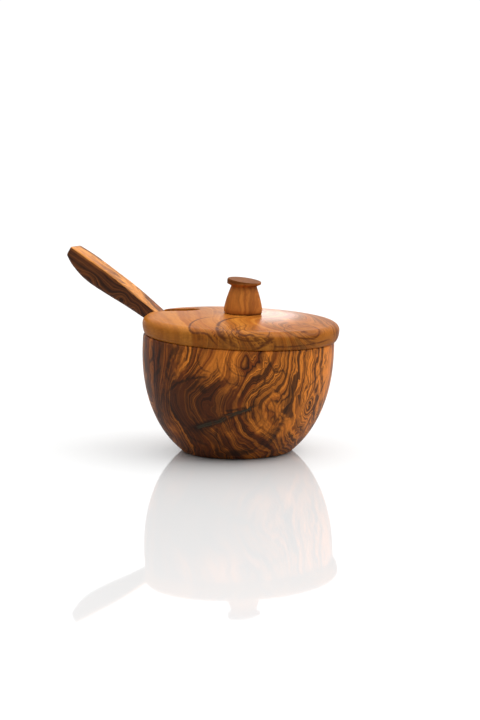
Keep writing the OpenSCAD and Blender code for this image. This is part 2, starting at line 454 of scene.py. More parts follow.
FISSURE = on_bowl(
    (-101, 16), (-92, 18), (-83, 20.7), (-75, 23), (-70, 26), (-61, 29), (-55.5, 31.5), (-53.5, 36)
)
FISSURE_HALF = 0.32
FISSURE_DEPTH = 0.55
KNOT_DEPTH = 0.35
HEART_ARC = on_bowl((-113, 33), (-108, 37), (-103, 40), (-98, 42), (-93, 44), (-87, 45), (-82, 45.5))
BOWL_LINES = [
    (FISSURE, 1.8, 1.0),
    (on_bowl((-56, 31), (-53.5, 36), (-51, 41), (-47.5, 49)), 0.42, 0.85),
    (on_bowl((-72, 28.6), (-65, 29.6), (-58, 30.6)), 0.6, 0.85),
    (HEART_ARC, 0.55, 0.8),
    (on_bowl((-113, 33), (-110, 26), (-106, 21), (-101, 17)), 0.9, 0.6),
    (on_bowl((-87, 41), (-85.5, 39), (-86, 37)), 1.5, 0.8),
    (on_bowl((-35, 49), (-32, 42), (-32, 34), (-33, 27), (-35, 19), (-38, 11), (-44, 5)), 1.3, 0.75),
    (on_bowl((-74, 4), (-61, 5), (-50, 6.5), (-43, 10)), 1.6, 0.85),
    (on_bowl((-47, 42), (-39, 38), (-36.5, 32), (-36.5, 26), (-38, 19), (-43, 12.5), (-51, 8)), 0.5, 0.5),
    (on_bowl((-49, 39), (-43, 34), (-40, 28), (-40, 23), (-43, 16), (-50, 12), (-59, 9)), 0.4, 0.55),
    (on_bowl((-50, 35), (-45.5, 30), (-45, 24), (-48, 20), (-54, 16.5)), 0.35, 0.5),
    (on_bowl((-53, 30), (-50, 27), (-49.5, 24), (-53, 21)), 0.3, 0.45),
    (on_bowl((-73, 58), (-71, 52), (-66, 48), (-60.5, 47.5), (-59, 52), (-59, 58)), 0.35, 0.55),
    (on_bowl((-70, 57), (-67, 53), (-64, 51.5), (-62.5, 54), (-63, 58)), 0.3, 0.4),
    (on_bowl((-78, 58), (-75.5, 49), (-70, 43.5), (-64, 42), (-61, 37)), 0.35, 0.5),
    (on_bowl((-53, 59), (-51, 53), (-53.5, 45), (-56, 38)), 0.35, 0.5),
    (on_bowl((-49.5, 59), (-46, 53), (-43, 49), (-38, 50), (-35.5, 45)), 0.45, 0.7),
    (on_bowl((-29, 59), (-27.5, 49), (-28, 40), (-29, 31)), 0.35, 0.55),
    (on_bowl((-23, 58), (-21, 48), (-18, 42), (-21, 38)), 0.4, 0.6),
    (on_bowl((-15, 59), (-14, 53), (-16.5, 47)), 0.5, 0.5),
    (on_bowl((2, 58), (-4, 50), (-12, 43.5), (-18, 40)), 0.45, 0.65),
    (on_bowl((5, 45), (-2, 38), (-5, 28), (-6, 18), (-3, 10)), 0.6, 0.8),
    (on_bowl((18, 44), (15, 37), (12, 29), (6, 21), (3, 13)), 0.35, 0.7),
    (on_bowl((-14, 32.5), (-12.3, 30.5), (-12.6, 27)), 0.75, 1.0),
    (on_bowl((-128, 57), (-124.5, 52), (-131, 47)), 0.7, 0.8),
    (on_bowl((-115, 59), (-119, 51), (-118, 46), (-123, 41), (-121, 34)), 0.9, 0.8),
    (on_bowl((-104, 60), (-107.5, 53), (-111, 45), (-109, 41)), 1.2, 0.85),
    (on_bowl((-99, 59), (-101.5, 53), (-102.5, 48)), 0.8, 0.6),
    (on_bowl((-89, 58), (-88, 52), (-85, 49), (-80, 48)), 0.35, 0.55),
    (on_bowl((-115, 43), (-115, 36), (-120, 28), (-122, 21), (-116, 14)), 0.7, 0.7),
    (on_bowl((-138, 46), (-132, 36), (-129, 27), (-128, 18), (-122, 11)), 0.6, 0.7),
    (on_bowl((-101, 17), (-100, 12), (-93, 9.5), (-84, 8)), 0.7, 0.6),
    (on_bowl((-77, 20), (-78, 12), (-72, 7)), 0.6, 0.6),
]


def bowl_profile():
    """The bowl's outline from the axis under the foot, over the rim, to the hollow's centre."""
    outside = [(outside_r(z), z) for z in np.linspace(-2, BOWL_H - RIM_OUTER_ROUND, 90)]
    a, b = RIM_OUTER_ROUND, RIM_INNER_ROUND
    outer_edge = arc((RIM_R - a, BOWL_H - a), a, a, 8, 90, 6)
    inner_edge = arc((MOUTH_R + b, BOWL_H - b), b, b, 90, 180, 8)
    hollow = []
    for a in np.linspace(0, math.pi / 2, 46):
        r = MOUTH_R * max(math.cos(a), 0) ** (2 / HOLLOW_FULLNESS)
        fall = (HOLLOW_TOP - FLOOR_T) * math.sin(a) ** (2 / HOLLOW_FULLNESS)
        hollow.append((r, HOLLOW_TOP - fall))
    hollow[-1] = (0, FLOOR_T)
    return outside + outer_edge + spread(inner_edge[:-1] + hollow, 1.1)


def close_foot(shell):
    """Cuts the sunk foot off level and closes it with a softly rounded edge and a flat base."""
    lift = 0.45 * MM
    geom = [*shell.verts, *shell.edges, *shell.faces]
    plane = {"plane_co": (0, 0, lift), "plane_no": (0, 0, 1)}
    bmesh.ops.bisect_plane(shell, geom=geom, dist=1e-7, clear_inner=True, **plane)
    loop = [e for e in shell.edges if e.is_boundary]
    centre = sum((v.co for e in loop for v in e.verts), Vector()) / (2 * len(loop))
    for shrink, height in ((0.34, 0.2), (0.62, 0.06), (1.1, 0.0), (7, 0.0), (14, 0.0), (21, 0.0)):
        made = bmesh.ops.extrude_edge_only(shell, edges=loop)["geom"]
        loop = [e for e in made if isinstance(e, bmesh.types.BMEdge) and e.is_boundary]
        for vert in {v for e in loop for v in e.verts}:
            away = Vector((vert.co.x - centre.x, vert.co.y - centre.y, 0))
            kept = centre + away * max(1 - shrink * MM / away.length, 0.02)
            vert.co = (kept.x, kept.y, height * MM)
    bmesh.ops.edgeloop_fill(shell, edges=loop)


def make_bowl():
    """The bowl: turned, leaned, cut level, with its open fissure and a small sunk knot."""
    wobble = {"Unevenness": 0.00012, "Uneven_Size": 0.03}
    mesh = turn("bowl_turned", bowl_profile(), BOWL_WOOD, Steps_Round=330, **wobble)
    mesh.transform(TURNED)
    shell = bmesh.new()
    shell.from_mesh(mesh)
    close_foot(shell)
    bmesh.ops.remove_doubles(shell, verts=shell.verts, dist=2e-6)
    centres = np.array([f.calc_center_median()[:] for f in shell.faces]) * 1000
    shell.faces.ensure_lookup_table()
    fissure = np.array(smooth(FISSURE, 12))
    spots = bowl_map(centres)
    gap = np.min([np.hypot(*(spots - q).T) for q in fissure], axis=0)
    _, _, radius = round_the_axis(centres)
    fine = (gap < 1.5) & (radius > 30) & (centres[:, 2] > 8)
    edges = {e for i in np.flatnonzero(fine) for e in shell.faces[i].edges}
    bmesh.ops.subdivide_edges(shell, edges=list(edges), cuts=2, use_grid_fill=True)
    shell.to_mesh(mesh)
    shell.free()
    places = vertices(mesh)
    flat = bowl_map(places)
    angle, height, radius = round_the_axis(places)
    outer = radius > np.array([inside_r(h) for h in height]) + 2
    flat[~outer, 1] += OFF_THE_MAP
    deep = np.zeros(len(places))
    for i, q in enumerate(fissure):
        along = i / (len(fissure) - 1)
        open_share = math.sin(math.pi * min(max(along, 0.03), 0.97)) ** 0.5
        wide = FISSURE_HALF * open_share
        wander = 0.15 * math.sin(i * 1.9)
        d = np.hypot(flat[:, 0] - q[0], flat[:, 1] - q[1] - wander)
        deep = np.maximum(deep, FISSURE_DEPTH * open_share * np.exp(-((d / wide) ** 2)))
    knot = on_bowl((-14, 30))[0]
    across = (flat[:, 0] - knot[0] - 0.25 * (flat[:, 1] - knot[1])) / 0.9
    deep += KNOT_DEPTH * np.exp(-(across**2) - ((flat[:, 1] - knot[1]) / 2.6) ** 2)
    axis_x = places[:, 2] * math.tan(LEAN)
    out = np.column_stack([places[:, 0] - axis_x, places[:, 1], np.zeros(len(places))])
    out /= np.maximum(np.hypot(out[:, 0], out[:, 1]), 1)[:, None]
    set_vertices(mesh, places - out * deep[:, None])
    draw_lines(mesh, flat, BOWL_LINES)
    finish_piece("turned_bowl", mesh, BOWL_WOOD, "bowl", "bowl")


# ---------------------------------------------------------------- lid

SPOON_EDGE_X = -MOUTH_R - RIM_INNER_ROUND + RIM_INNER_ROUND * math.sin(SPOON_TILT)
SPOON_EDGE_Z = BOWL_H - RIM_INNER_ROUND + RIM_INNER_ROUND * math.cos(SPOON_TILT)
UNDER_RIM = 1.6 * REST_GAP
TOP_RIM = UNDER_RIM + HANDLE_T
TOP_NECK = TOP_RIM - 0.4
SCOOP_TOP = TOP_NECK - 0.2
NECK_DROP = SPOON_EDGE_Z + TOP_NECK * math.cos(SPOON_TILT) - (BOWL_H - SPIGOT_H)
NOTCH_PASS = NECK_DROP / math.tan(SPOON_TILT) + TOP_NECK * math.sin(SPOON_TILT)
NOTCH_END = SPOON_EDGE_X + NOTCH_PASS + NOTCH_END_PLAY - LID_SLID
NOTCH_CENTRE = NOTCH_END - NOTCH_HALF
FILLET = 0.6
LID_HALF_STEPS = 146
EDGE_STEPS = (0, 0.07, 0.18, 0.34, 0.6)
WALL_STEPS = 7


def on_unrolled_lid(*places):
    """Places given as an angle in degrees and a distance from the centre along the lid's skin."""
    return [(r * math.cos(math.radians(a)), r * math.sin(math.radians(a))) for a, r in places]


LEFT_GROWTH_LINE = on_unrolled_lid(
    (-100, 17), (-107, 24), (-108, 31), (-103.5, 40), (-97, 49),
    (-93, 52), (-88, 51.5), (-84, 52), (-80, 55.5), (-77.5, 58),
)
MIDDLE_GROWTH_LINE = on_unrolled_lid(
    (-48, 14), (-62, 15), (-80, 21), (-84, 33), (-80.5, 45),
    (-78, 51), (-75, 53), (-72, 55.5), (-68, 57), (-62, 58.5),
)
FRONT_KNOT_RING = on_unrolled_lid(
    (-58, 33), (-64, 38), (-69, 44), (-70.5, 50), (-66, 53.5),
    (-58, 54), (-51, 52.3), (-48, 48), (-48.5, 40),
)
FRONT_KNOT_HEART = on_unrolled_lid(
    (-62, 43.5), (-66, 46), (-66.5, 50), (-63, 51.5), (-59, 50.5), (-57.5, 52.5), (-53, 51.5)
)
SIDE_KNOT_RING = on_unrolled_lid(
    (-32, 41), (-22, 37.2), (-11, 38.5), (-8, 43), (-11, 48.5), (-16, 52.5),
    (-22, 53.6), (-31, 52.6), (-37, 48.5), (-35, 43), (-30, 40.5),
)
LID_LINES = [
    (LEFT_GROWTH_LINE, 0.5, 0.95),
    (MIDDLE_GROWTH_LINE, 0.75, 1.0),
    (on_unrolled_lid((-78, 41), (-75.5, 49), (-73, 52.5), (-70, 54.8), (-66, 57)), 0.4, 0.6),
    (on_unrolled_lid((-57.5, 59), (-55, 57.5), (-52.5, 56), (-49.5, 54), (-46, 52)), 0.8, 1.0),
    (on_unrolled_lid((-52, 56), (-43, 57), (-31, 57), (-16, 56.3), (-1, 55.5)), 0.4, 0.8),
    (FRONT_KNOT_RING, 0.38, 0.8),
    (FRONT_KNOT_HEART, 0.5, 1.0),
    (SIDE_KNOT_RING, 0.36, 0.9),
    (on_unrolled_lid((-27.5, 49.5), (-25, 49), (-22.5, 50)), 0.65, 1.0),
]


def notch_gap(x, y):
    """Distance from a place on the lid to the notch's wall, below 0 inside the notch."""
    dx = x - NOTCH_CENTRE
    return np.where(dx > 0, np.hypot(dx, y), np.abs(y)) - NOTCH_HALF


def notch_angle(r):
    """The angle from -X where a ring of radius r meets the notch's wall."""
    if r <= abs(NOTCH_END) + 1e-6:
        return 0.0
    tangent = math.hypot(NOTCH_CENTRE, NOTCH_HALF)
    if r >= tangent:
        return math.asin(NOTCH_HALF / r)
    c = abs(NOTCH_CENTRE)
    return math.acos(min(1, (r * r + c * c - NOTCH_HALF**2) / (2 * r * c)))


def lid_profile():
    """The lid's outline: the top inside the notch's reach, what the notch cuts, and the rest."""
    c, w = abs(NOTCH_CENTRE), NOTCH_HALF
    tip = abs(NOTCH_END)
    turns = np.linspace(0, math.pi / 2, 15)
    end_radii = [math.sqrt(c * c + w * w - 2 * c * w * math.cos(a)) for a in turns]
    end_radii[0] = tip
    dome_r = LID_R - LID_ROUND

    def top(r):
        fall = max(r - SEAT_R, 0) / (dome_r - SEAT_R)
        return LID_MID_H - (LID_MID_H - LID_EDGE_H) * fall**2

    def dish(r):
        return -SPIGOT_H + DISH_H * max(0, 1 - (r / (SPIGOT_R - DISH_RING)) ** 2)

    inner = [0, 2, 4, 6, 8, 9, SEAT_R, 11, 12, 13.5, 15, 16.5, 18, 19.5]
    inner = [r for r in inner if r < tip - 0.8] + [tip - g for g in (0.6, 0.4, 0.24, 0.1)]
    over = [(r, top(r)) for r in np.linspace(end_radii[-1], dome_r, 24)[1:]]
    centre = (LID_R - LID_ROUND, LID_BELLY_H)
    edge = arc(centre, LID_ROUND, LID_EDGE_H - LID_BELLY_H, 90, 12, 14)[1:]
    below = arc((LID_R - LID_UNDERCUT, LID_BELLY_H), LID_UNDERCUT, LID_BELLY_H, 0, -90, 14)
    dish_r = SPIGOT_R - DISH_RING
    spigot = [(SPIGOT_R + 0.25, 0), (SPIGOT_R, -0.25), (SPIGOT_R, -1.7), (SPIGOT_R, -3.2)]
    spigot += [(SPIGOT_R - 0.15, -3.6), (SPIGOT_R - 0.4, -3.9), (SPIGOT_R - 0.8, -SPIGOT_H)]
    spigot += [(dish_r + 0.4, -SPIGOT_H), (dish_r - 0.3, dish(dish_r - 0.3))]
    under = [(r, dish(r)) for r in np.linspace(dish_r - 2, end_radii[-1], 14)]
    cut_top = [(r, top(r)) for r in end_radii] + over + edge
    cut_below = below + [(below[-1][0] - 1.5, 0), (below[-1][0] - 3.5, 0)] + spigot + under[:-1]
    cut_below += [(r, dish(r)) for r in reversed(end_radii)]
    return [(r, top(r)) for r in inner], cut_top, cut_below, [(r, dish(r)) for r in reversed(inner)]


def split_longest(run, first, last):
    """Adds a place halfway along the longest step between two places of an outline."""
    i = max(range(first, last), key=lambda k: math.dist(run[k], run[k + 1]))
    a, b = run[i], run[i + 1]
    run.insert(i + 1, ((a[0] + b[0]) / 2, (a[1] + b[1]) / 2))


def ring_angles(r):
    """Angles round a ring of the lid, from one wall of the notch to the other."""
    cut = notch_angle(r)
    reach = EDGE_STEPS[-1]
    last = min(reach / max(r, 0.01), 0.02)
    side = [cut + e / reach * last for e in EDGE_STEPS]
    start = side[-1]
    for j in range(1, LID_HALF_STEPS + 1):
        t = j / LID_HALF_STEPS
        side.append(start + (math.pi - start) * (0.4 * t + 0.6 * t**3))
    return np.array(side + [2 * math.pi - a for a in reversed(side[:-1])])


def make_lid():
    """The lid: rings of a turned profile, parted by the notch, whose edges are softened."""
    inner_top, cut_top, cut_below, inner_below = lid_profile()
    while len(cut_below) < len(cut_top) + 1:
        split_longest(cut_below, 15, len(cut_below) - 16)
    while len(cut_top) + 1 < len(cut_below):
        split_longest(cut_top, 15, len(cut_top) - 1)
    profile = inner_top + cut_top + cut_below + inner_below
    rows = np.array(profile)
    run = np.gradient(rows, axis=0)
    normal = np.column_stack([-run[:, 1], run[:, 0]])
    normal /= np.maximum(np.hypot(*normal.T), 1e-9)[:, None]
    if normal[2, 1] < 0:
        normal = -normal
    places = []
    unrolled = []
    skin = np.concatenate([[0], np.cumsum(np.hypot(*np.diff(rows, axis=0).T))])
    for (r, z), (nr, nz), reach in zip(rows, normal, skin):
        angles = ring_angles(r)
        x, y = -r * np.cos(angles), -r * np.sin(angles)
        gap = notch_gap(x, y)
        closeness = np.clip(FILLET - np.maximum(gap, 0), 0, FILLET)
        sink = FILLET - np.sqrt(np.maximum(FILLET**2 - closeness**2, 0))
        share = (r - nr * sink) / max(r, 1e-9)
        places.append(np.column_stack([x * share, y * share, z - nz * sink]))
        unrolled.append(np.column_stack([-reach * np.cos(angles), -reach * np.sin(angles)]))
        columns = len(angles)
    places = np.array(places)
    count = len(rows)
    verts = places.reshape(-1, 3).tolist()
    faces = []
    cut_first, cut_last = len(inner_top), count - len(inner_below) - 1
    for k in range(count - 1):
        for j in range(columns - 1):
            a, b = k * columns + j, (k + 1) * columns + j
            faces.append((a, a + 1, b + 1, b))
    for j in (0, columns - 1):
        strip = []
        for i in range((cut_last - cut_first) // 2 + 1):
            high, low = places[cut_first + i, j], places[cut_last - i, j]
            strip.append([len(verts) + n for n in range(WALL_STEPS + 1)])
            down = (low - high) / WALL_STEPS
            verts.extend((high + down * n).tolist() for n in range(WALL_STEPS + 1))
        for left, right in zip(strip, strip[1:]):
            for n in range(WALL_STEPS):
                faces.append((left[n], left[n + 1], right[n + 1], right[n]))
    mesh = bpy.data.meshes.new("lid_turned")
    mesh.from_pydata([tuple(c * MM for c in v) for v in verts], [], faces)
    flat = np.full((len(verts), 2), float(OFF_THE_MAP))
    flat[: count * columns] = np.concatenate(unrolled)
    draw_lines(mesh, flat, LID_LINES)
    shell = bmesh.new()
    shell.from_mesh(mesh)
    bmesh.ops.remove_doubles(shell, verts=shell.verts, dist=4e-6)
    bmesh.ops.dissolve_degenerate(shell, edges=shell.edges, dist=1e-7)
    shell.to_mesh(mesh)
    shell.free()
    mesh.transform(LID_PLACE)
    finish_piece("turned_lid", mesh, LID_WOOD, "lid", "lid")


# ---------------------------------------------------------------- knob


def make_knob():
    """The knob: turned, with a sharp-edged cap whose top is cut on a slant."""
    side = smooth([(9.72, 0.35), (10, 2.8), (8.65, 8.5), (6.7, 14.2)], 10)
    cap = smooth([(6.8, 14.4), (7.5, 14.85), (8.62, 15.38)], 6) + [(8.8, 15.48), (8.9, 15.65)]
    edge = arc((7.7, 17.3), 1.2, 1.2, 0, 90, 7)
    foot = [(0, 0.0), (5, 0), (9.0, 0), (9.45, 0.03), (9.64, 0.15)]
    top = [(r, edge[-1][1]) for r in (6.4, 5, 3.5, 2, 0.8, 0)]
    profile = spread([tuple(p) for p in foot + side + cap] + edge + top, 0.55)
    mesh = turn(
        "knob_turned",
        profile,
        KNOB_WOOD,
        Steps_Round=128,
        Unevenness=0.00012,
        Uneven_Size=0.009,
        Slant=KNOB_SLANT,
        Slant_Height=KNOB_CAP_TOP * MM,
        Slant_Softness=0.0005,
    )
    mesh.transform(KNOB_PLACE)
    finish_piece("slant_knob", mesh, KNOB_WOOD, "lid", "knob")


# ---------------------------------------------------------------- spoon


def scoop_clear(x):
    """Whether the scoop, centred at distance x down the handle, is clear of the bowl's inside."""
    for a in np.radians(np.arange(0, 91, 6)):
        for b in np.radians(np.arange(0, 91, 15)):
            u = x + SCOOP_LEN / 2 * math.cos(a) * math.cos(b)
            v = SCOOP_W / 2 * math.cos(a) * math.sin(b)
            w = SCOOP_TOP - SCOOP_DEPTH * math.sin(a)
            px = SPOON_EDGE_X + u * math.cos(SPOON_TILT) + w * math.sin(SPOON_TILT)
            pz = SPOON_EDGE_Z - u * math.sin(SPOON_TILT) + w * math.cos(SPOON_TILT)
            if inside_r(pz - REST_GAP) - REST_GAP - math.hypot(px, v) <= 0:
                return False
    return True


def scoop_reach():
    """The furthest that the scoop goes down before it meets the bowl, found by halving."""
    near, far = 0.0, 2.0 * BOWL_R
    for _ in range(24):
        middle = (near + far) / 2
        near, far = (middle, far) if scoop_clear(middle) else (near, middle)
    return near


SCOOP_X = scoop_reach()
SPOON_PLACE = (
    TURNED
    @ Matrix.Translation((SPOON_EDGE_X * MM, 0, SPOON_EDGE_Z * MM))
    @ Matrix.Rotation(SPOON_TILT, 4, "Y")
)


def height_at(curve, x):
    """The height of a drawn curve at a distance along it."""
    curve = np.array(curve)
    return float(np.interp(x, curve[:, 0], curve[:, 1]))


# Places round a section of the spoon: along its lower side, then back over the upper one
LOWER_RIM = 26
UPPER_RIM = 26
LIP_ROUND = 0.35


def make_spoon():
    """The spoon: one skin from the blunt handle end down to the scoop's far lip."""
    out = HANDLE_OUT
    join = SCOOP_X - SCOOP_LEN / 2 + 5
    swell = TOP_RIM + 1.6
    top_line = smooth(
        [
            (-out, swell - 1),
            (-0.8 * out, swell - 0.1),
            (-0.45 * out, swell),
            (0, TOP_RIM),
            (NECK_X, TOP_NECK),
            (join, SCOOP_TOP),
        ],
        12,
    )
    under_line = smooth(
        [
            (-out, swell - 7),
            (-0.89 * out, swell - 10.1),
            (-0.7 * out, swell - 11.7),
            (-0.3 * out, UNDER_RIM - 1),
            (0, UNDER_RIM),
            (NECK_X, TOP_NECK - NECK_T),
            (join, TOP_NECK - NECK_T),
        ],
        12,
    )
    plan_line = smooth(
        [
            (-out, 5.4),
            (-0.93 * out, HANDLE_HALF),
            (-0.25 * out, HANDLE_HALF),
            (0, 5.5),
            (NECK_X, 4.05),
            (join - 4, NECK_HALF),
            (join, NECK_HALF + 1),
        ],
        12,
    )
    stations = list(np.linspace(-out + 0.55, 20, 84)) + list(np.linspace(20, join - 8, 14))[1:]
    stations += list(np.linspace(join - 8, SCOOP_X, 26))[1:]
    stations += [SCOOP_X + SCOOP_LEN / 2 * math.sin(a) for a in np.radians(np.arange(6, 90, 6))]
    rings = [spoon_ring(x, top_line, under_line, plan_line, join) for x in stations]
    first = rings[0]
    middle = first.mean(axis=0)
    caps = []
    for shrink, step in ((0.93, 0.42), (0.97, 0.27), (0.993, 0.1)):
        ring = middle + (first - middle) * shrink
        ring[:, 0] = first[:, 0] - step
        caps.append(ring)
    flat_end = np.array([0.45, 0, 0])
    caps = [middle + (first - middle) * s - flat_end for s in (0.02, 0.35, 0.7)] + caps
    rings = caps + rings
    size = len(first)
    verts = [tuple(p) for ring in rings for p in ring]
    faces = []
    for k in range(len(rings) - 1):
        for j in range(size):
            n = (j + 1) % size
            faces.append((k * size + j, k * size + n, (k + 1) * size + n, (k + 1) * size + j))
    faces.append(tuple(range(size)))
    faces.append(tuple(reversed(range((len(rings) - 1) * size, len(rings) * size))))
    mesh = bpy.data.meshes.new("spoon_carved")
    mesh.from_pydata([tuple(c * MM for c in v) for v in verts], [], faces)
    index = np.arange(len(verts))
    place = index % size
    upper = place >= LOWER_RIM
    corner = np.minimum(np.abs(place - LOWER_RIM), np.abs(place - (size - 1)))
    keep(mesh, "upper_face", upper & (index >= size * len(caps)))
    keep(mesh, "rubbed_edge", np.clip(1 - (corner - 2) / 3.0, 0, 1) * upper)
    mesh.transform(SPOON_PLACE)
    finish_piece("carved_spoon", mesh, SPOON_WOOD, "spoon", "spoon")


def ramp(value, start, length):
    """0 before start and 1 after a length past it, with a straight change between."""
    return min(max((value - start) / length, 0), 1)


def spoon_ring(x, top_line, under_line, plan_line, join):
    """A section across the spoon: below from left lip to right, then back over the top."""
    along = (x - SCOOP_X) / (SCOOP_LEN / 2)
    bulge = math.sqrt(max(0, 1 - along**2))
    part = ramp(x, join - 5, 9)
    part = part * part * (3 - 2 * part)
    hx = min(x, join)
    top, under, half = (height_at(line, hx) for line in (top_line, under_line, plan_line))
    carve = 0.16 * math.sin(x * 0.31 + 1) + 0.12 * math.sin(x * 0.83 + 2.2) + 0.06 * math.sin(x * 1.9)
    carve *= ramp(-x, -20, 12) * ramp(x, -HANDLE_OUT, 6)
    low = min(2.4, (top - under) * 0.42)
    left = 1.0 + 0.35 * math.sin(x * 0.22 + 0.4) + carve
    right = 1.5 + 0.3 * math.sin(x * 0.17 + 2)
    section = np.array(rounded_box(half - 0.12 - abs(carve) * 0.5, top, under, low, left, right))
    if part > 0:
        wide = max(SCOOP_W / 2 * bulge, (1 - part) * half * 0.9)
        deep = max(SCOOP_DEPTH * bulge, (1 - part) * (top - under) * 0.9)
        section = section * (1 - part) + np.array(cup_outline(along, wide, deep)) * part
    return np.column_stack([np.full(len(section), x), section])


def cup_outline(along, wide, deep):
    """The scoop's section at a share of its half length from its middle: outside, lips, hollow."""
    cup = []
    for i in range(LOWER_RIM):
        t = math.pi * i / (LOWER_RIM - 1)
        y, z = -wide * math.cos(t), SCOOP_TOP - LIP_ROUND - (deep - LIP_ROUND) * math.sin(t)
        cup.append((y, z))
    half_length = SCOOP_LEN / 2
    inside = (along * half_length / (half_length - SCOOP_T)) ** 2
    hollow_half = (SCOOP_W / 2 - SCOOP_T) * math.sqrt(max(0, 1 - inside))
    floor = (SCOOP_DEPTH - SCOOP_T) * math.sqrt(max(0, 1 - inside))
    if hollow_half == 0:
        hollow_half = wide * 0.45
    lip = []
    for i in range(5):
        rounding = min((wide - hollow_half) * 0.5, 0.5) * i * 0.15
        flat = (wide - hollow_half) * (0.35 + 0.325 * (i - 2))
        z = SCOOP_TOP - LIP_ROUND * (1 - i / 4) ** 2 if i < 3 else SCOOP_TOP
        lip.append((wide - (rounding if i < 3 else flat), z))
    cup += lip
    for i in range(5, UPPER_RIM - 5):
        t = math.pi * (i - 4) / (UPPER_RIM - 9)
        cup.append((hollow_half * math.cos(t), SCOOP_TOP - floor * math.sin(t)))
    return cup + [(-y, z) for y, z in reversed(lip)]


def rounded_box(half, top, under, low_round, left_round, right_round):
    """A carved handle's section: soft corners below, crisper ones above."""

    def corner(side, radius, height, angles):
        """A rounded corner at the left (-1) or right (1); angles rise from level to upright."""
        away, up = half - radius, 1 if height == top else -1
        middle = height - up * radius
        return [(side * (away + radius * math.cos(a)), middle + up * radius * math.sin(a)) for a in angles]

    quarter = np.linspace(0, math.pi / 2, 7)
    eased = np.linspace(0.45, math.pi / 2, 6)
    waist = (top + under) / 2 + 0.4
    lower = corner(-1, left_round, top, (0.35, 0)) + [(-half, waist)]
    lower += corner(-1, low_round, under, quarter) + corner(1, low_round, under, quarter[::-1])
    lower += [(half, waist)] + corner(1, right_round, top, (0, 0.35))
    upper = corner(1, right_round, top, eased) + [(0.3, top)]
    upper += corner(-1, left_round, top, eased[::-1])
    return resample(lower, LOWER_RIM) + resample(upper, UPPER_RIM)


def resample(outline, count):
    """Places evenly spaced along an outline."""
    points = np.array(outline, float)
    run = np.concatenate([[0], np.cumsum(np.hypot(*np.diff(points, axis=0).T))])
    wanted = np.linspace(0, run[-1], count)
    return list(zip(np.interp(wanted, run, points[:, 0]), np.interp(wanted, run, points[:, 1])))


# ---------------------------------------------------------------- olive wood


def grain_flow_group():
    """Places across the grain in mm: straight planes, swirled and rippled by noise."""
    tree, given = new_group(
        "olive_grain_flow",
        "ShaderNodeTree",
        [
            ("Position", "Vector", None),
            ("Swirl", "Float", 10.0),
            ("Swirl Size", "Float", 28.0),
            ("Ripple", "Float", 2.0),
            ("Ripple Size", "Float", 7.0),
            ("Figure", "Float", 0.4),
        ],
        [("Flow", "Float")],
    )
    flow = put(tree, "ShaderNodeSeparateXYZ", {0: given["Position"]}).outputs[0]
    for amount, detail in (("Swirl", 1.0), ("Ripple", 2.0)):
        scale = maths(tree, "DIVIDE", 1, given[amount + " Size"])
        waves = noise(tree, given["Position"], scale, detail, Distortion=given["Figure"])
        flow = plus(tree, flow, swing(tree, waves, given[amount]))
    close_group(tree, Flow=flow)
    return tree


def knot_group():
    """Bends the grain round a knot, and gives the knot's own mask."""
    tree, given = new_group(
        "knot",
        "ShaderNodeTree",
        [
            ("Position", "Vector", None),
            ("Flow", "Float", 0.0),
            ("Centre", "Vector", None),
            ("Reach", "Vector", (10, 10, 10)),
            ("Pull", "Float", 20.0),
        ],
        [("Flow", "Float"), ("Mask", "Float")],
    )
    away = vector_maths(tree, "SUBTRACT", given["Position"], given["Centre"])
    length = vector_maths(tree, "LENGTH", vector_maths(tree, "DIVIDE", away, given["Reach"]))
    squared = times(tree, length, length)
    mask = maths(tree, "EXPONENT", times(tree, squared, -1))
    flow = plus(tree, given["Flow"], times(tree, mask, given["Pull"]))
    close_group(tree, Flow=flow, Mask=mask)
    return tree


